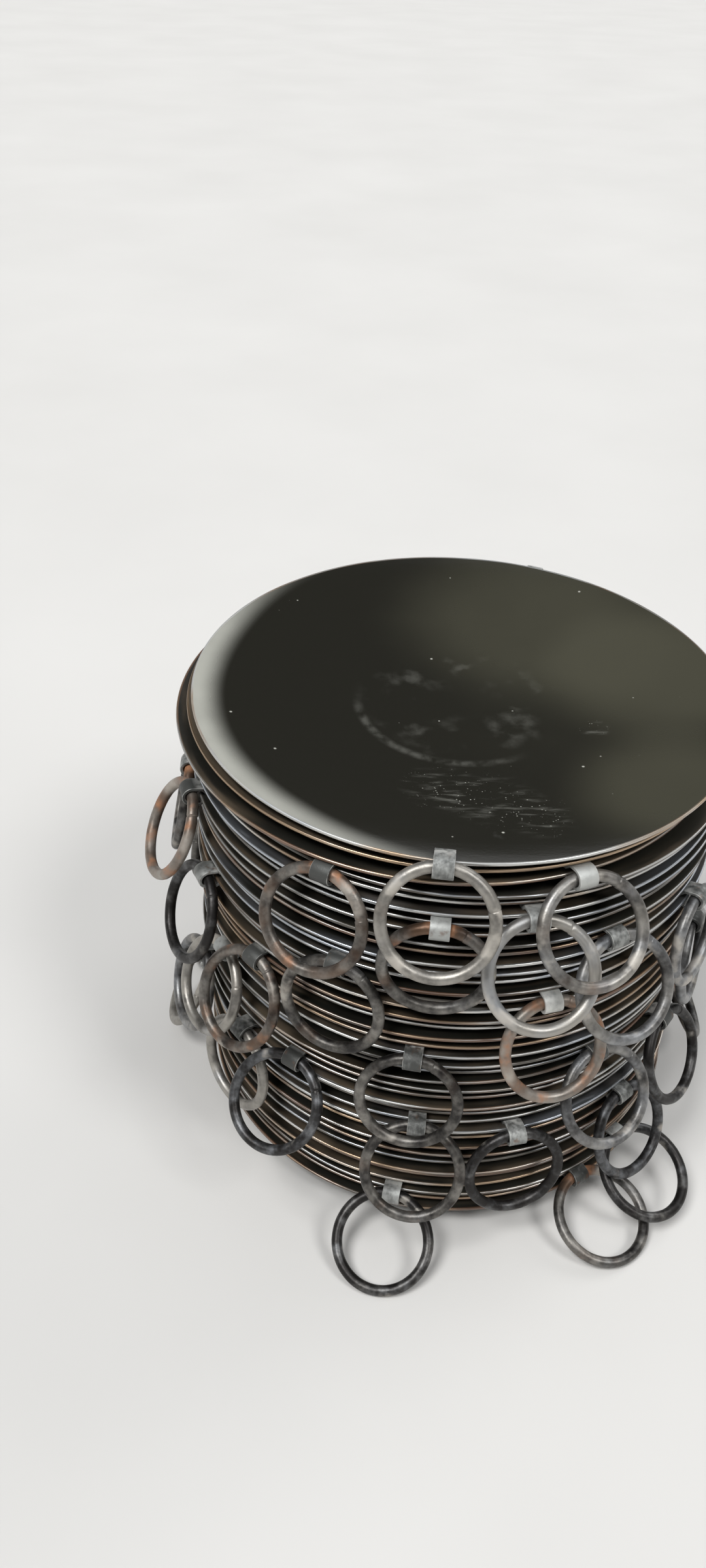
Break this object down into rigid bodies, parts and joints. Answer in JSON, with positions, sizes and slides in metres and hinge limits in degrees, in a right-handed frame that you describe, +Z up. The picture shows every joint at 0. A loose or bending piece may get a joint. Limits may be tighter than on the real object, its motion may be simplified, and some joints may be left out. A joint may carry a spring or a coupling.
{
  "type": "stack of griddle pans",
  "caption": "Stack of nested shallow round iron griddle pans, each with a ring handle hung from a folded strap at its rim.",
  "frame": {"origin": "middle of the stack's foot, on the floor under the bottom pan", "axes": "+Z up through the stack, -Y towards the side where most of the ring handles hang, +X to the right of that side"},
  "size_m": [0.3641, 0.3956, 0.2921],
  "materials": {
    "pan_iron": "blackened and oiled sheet iron, semi-gloss, with bare grey rims",
    "strap_iron": "bare sheet iron, matte grey, worn",
    "ring_iron": "bare bar iron, dull grey with spots of rust"
  },
  "bodies": {
    "stack": {"top_pan": "pan_iron", "second_pan": "pan_iron", "upper_pans": "pan_iron", "middle_pans": "pan_iron", "lower_pans": "pan_iron", "bottom_pan": "pan_iron", "upper_straps": "strap_iron", "middle_straps": "strap_iron", "lower_straps": "strap_iron", "upper_rings": "ring_iron", "middle_rings": "ring_iron", "lower_rings": "ring_iron"},
    "swinging_ring_01": {"swinging_ring_01": "ring_iron"},
    "swinging_ring_02": {"swinging_ring_02": "ring_iron"},
    "swinging_ring_03": {"swinging_ring_03": "ring_iron"},
    "swinging_ring_04": {"swinging_ring_04": "ring_iron"},
    "swinging_ring_05": {"swinging_ring_05": "ring_iron"},
    "swinging_ring_08": {"swinging_ring_08": "ring_iron"},
    "swinging_ring_11": {"swinging_ring_11": "ring_iron"},
    "swinging_ring_12": {"swinging_ring_12": "ring_iron"},
    "swinging_ring_15": {"swinging_ring_15": "ring_iron"},
    "swinging_ring_16": {"swinging_ring_16": "ring_iron"},
    "swinging_ring_19": {"swinging_ring_19": "ring_iron"},
    "swinging_ring_21": {"swinging_ring_21": "ring_iron"},
    "swinging_ring_22": {"swinging_ring_22": "ring_iron"},
    "swinging_ring_23": {"swinging_ring_23": "ring_iron"},
    "swinging_ring_26": {"swinging_ring_26": "ring_iron"},
    "swinging_ring_28": {"swinging_ring_28": "ring_iron"},
    "swinging_ring_32": {"swinging_ring_32": "ring_iron"},
    "swinging_ring_33": {"swinging_ring_33": "ring_iron"},
    "swinging_ring_34": {"swinging_ring_34": "ring_iron"},
    "swinging_ring_35": {"swinging_ring_35": "ring_iron"},
    "swinging_ring_36": {"swinging_ring_36": "ring_iron"}
  },
  "joints": [
    {"name": "ring_01_swing", "type": "hinge", "parent": "stack", "child": "swinging_ring_01", "pos_m": [-0.02061, -0.14836, 0.28631], "axis": [-0.9945, 0.1045, -0.0016], "range_deg": [0, 188]},
    {"name": "ring_02_swing", "type": "hinge", "parent": "stack", "child": "swinging_ring_02", "pos_m": [0.05023, 0.14988, 0.27851], "axis": [0.9272, -0.3746, 0.0023], "range_deg": [0, 189]},
    {"name": "ring_03_swing", "type": "hinge", "parent": "stack", "child": "swinging_ring_03", "pos_m": [0.04671, -0.13636, 0.27275], "axis": [-0.9205, -0.3907, 0.0043], "range_deg": [0, 127]},
    {"name": "ring_04_swing", "type": "hinge", "parent": "stack", "child": "swinging_ring_04", "pos_m": [-0.07558, -0.13054, 0.2649], "axis": [-0.8829, 0.4695, 0.002], "range_deg": [0, 115]},
    {"name": "ring_05_swing", "type": "hinge", "parent": "stack", "child": "swinging_ring_05", "pos_m": [-0.06746, 0.14885, 0.25668], "axis": [0.9135, 0.4067, -0.0034], "range_deg": [0, 175]},
    {"name": "ring_08_swing", "type": "hinge", "parent": "stack", "child": "swinging_ring_08", "pos_m": [-0.15248, -0.04038, 0.23793], "axis": [-0.309, 0.9511, -0.0017], "range_deg": [0, 140]},
    {"name": "ring_11_swing", "type": "hinge", "parent": "stack", "child": "swinging_ring_11", "pos_m": [0.13693, 0.06355, 0.21612], "axis": [0.3746, -0.9272, 0.0056], "range_deg": [0, 148]},
    {"name": "ring_12_swing", "type": "hinge", "parent": "stack", "child": "swinging_ring_12", "pos_m": [0.12478, -0.08016, 0.21029], "axis": [-0.5592, -0.829, 0.0067], "range_deg": [0, 168]},
    {"name": "ring_15_swing", "type": "hinge", "parent": "stack", "child": "swinging_ring_15", "pos_m": [0.04187, -0.13995, 0.18958], "axis": [-0.9563, -0.2924, 0.0003], "range_deg": [0, 28]},
    {"name": "ring_16_swing", "type": "hinge", "parent": "stack", "child": "swinging_ring_16", "pos_m": [0.00466, 0.16044, 0.18157], "axis": [0.9976, -0.0698, -0.0023], "range_deg": [0, 173]},
    {"name": "ring_19_swing", "type": "hinge", "parent": "stack", "child": "swinging_ring_19", "pos_m": [-0.15516, 0.04265, 0.16136], "axis": [0.2419, 0.9703, -0.0051], "range_deg": [0, 150]},
    {"name": "ring_21_swing", "type": "hinge", "parent": "stack", "child": "swinging_ring_21", "pos_m": [-0.02611, -0.14671, 0.14728], "axis": [-0.9877, 0.1564, -0.003], "range_deg": [0, 111]},
    {"name": "ring_22_swing", "type": "hinge", "parent": "stack", "child": "swinging_ring_22", "pos_m": [0.09477, 0.12296, 0.13875], "axis": [0.766, -0.6428, 0.0042], "range_deg": [0, 161]},
    {"name": "ring_23_swing", "type": "hinge", "parent": "stack", "child": "swinging_ring_23", "pos_m": [0.07579, -0.12428, 0.13251], "axis": [-0.8572, -0.515, 0.0051], "range_deg": [0, 69]},
    {"name": "ring_26_swing", "type": "hinge", "parent": "stack", "child": "swinging_ring_26", "pos_m": [-0.09059, -0.12054, 0.11191], "axis": [-0.829, 0.5592, 0.002], "range_deg": [0, 68]},
    {"name": "ring_28_swing", "type": "hinge", "parent": "stack", "child": "swinging_ring_28", "pos_m": [-0.09248, 0.13016, 0.0979], "axis": [0.809, 0.5878, -0.0033], "range_deg": [0, 167]},
    {"name": "ring_32_swing", "type": "hinge", "parent": "stack", "child": "swinging_ring_32", "pos_m": [0.15041, -0.00299, 0.0713], "axis": [-0.0349, -0.9994, -0.0013], "range_deg": [0, 144]},
    {"name": "ring_33_swing", "type": "hinge", "parent": "stack", "child": "swinging_ring_33", "pos_m": [-0.1544, -0.00281, 0.06406], "axis": [-0.0349, 0.9994, 0.0032], "range_deg": [0, 102]},
    {"name": "ring_34_swing", "type": "hinge", "parent": "stack", "child": "swinging_ring_34", "pos_m": [0.1334, 0.07606, 0.0565], "axis": [0.4695, -0.8829, -0.0037], "range_deg": [0, 156]},
    {"name": "ring_35_swing", "type": "hinge", "parent": "stack", "child": "swinging_ring_35", "pos_m": [-0.14443, 0.05817, 0.04943], "axis": [0.3746, 0.9272, 0.0018], "range_deg": [0, 135]},
    {"name": "ring_36_swing", "type": "hinge", "parent": "stack", "child": "swinging_ring_36", "pos_m": [-0.01605, 0.15596, 0.04258], "axis": [0.9945, 0.1045, 0.0029], "range_deg": [0, 130]}
  ]
}
